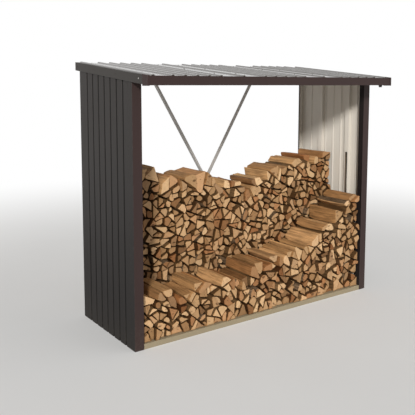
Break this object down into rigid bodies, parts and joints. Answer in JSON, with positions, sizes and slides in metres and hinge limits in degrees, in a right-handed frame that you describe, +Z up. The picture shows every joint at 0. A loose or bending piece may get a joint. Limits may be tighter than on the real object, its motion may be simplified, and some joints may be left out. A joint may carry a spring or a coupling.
{
  "type": "log store",
  "caption": "Open metal log store with ribbed side walls, a lean-to ribbed roof with front gutter, a rear cross brace, and two rows of stacked split firewood",
  "frame": {"origin": "on the ground, under the middle of the roof's outline", "axes": "+X to the right along the open front, +Y to the rear, +Z up"},
  "size_m": [2.316, 1.098, 1.9718],
  "materials": {
    "painted_sheet": "satin",
    "brown_sheet": "satin",
    "roof_sheet": "satin",
    "pale_sheet": "satin",
    "zinc_sheet": "galvanised",
    "dark_plastic": "matte",
    "split_logs": "rough sawn and split"
  },
  "bodies": {
    "root": {"brace_bar_falling": "zinc_sheet", "brace_bar_rising": "zinc_sheet", "brace_plates": "zinc_sheet", "firewood_back_1": "split_logs", "firewood_back_2": "split_logs", "firewood_back_3": "split_logs", "firewood_back_4": "split_logs", "firewood_back_5": "split_logs", "firewood_front_1": "split_logs", "firewood_front_2": "split_logs", "firewood_front_3": "split_logs", "floor_bearers": "zinc_sheet", "foot_rail_front": "pale_sheet", "foot_rail_left": "zinc_sheet", "foot_rail_rear": "zinc_sheet", "foot_rail_right": "zinc_sheet", "front_post_left": "brown_sheet", "front_post_right": "brown_sheet", "gutter": "brown_sheet", "gutter_cap_left": "brown_sheet", "gutter_cap_right": "brown_sheet", "gutter_spout": "dark_plastic", "header_front": "zinc_sheet", "header_rear": "zinc_sheet", "rafter_left": "zinc_sheet", "rafter_right": "zinc_sheet", "rear_post_left": "brown_sheet", "rear_post_right": "brown_sheet", "roof_panel_left": "roof_sheet", "roof_panel_middle": "roof_sheet", "roof_panel_right": "roof_sheet", "roof_purlin": "zinc_sheet", "roof_rear_trim": "painted_sheet", "side_wall_left": "painted_sheet", "side_wall_right": "painted_sheet", "verge_left": "painted_sheet", "verge_right": "painted_sheet", "wall_upright_left_front": "pale_sheet", "wall_upright_left_rear": "pale_sheet", "wall_upright_right_front": "pale_sheet", "wall_upright_right_rear": "pale_sheet"}
  },
  "joints": []
}
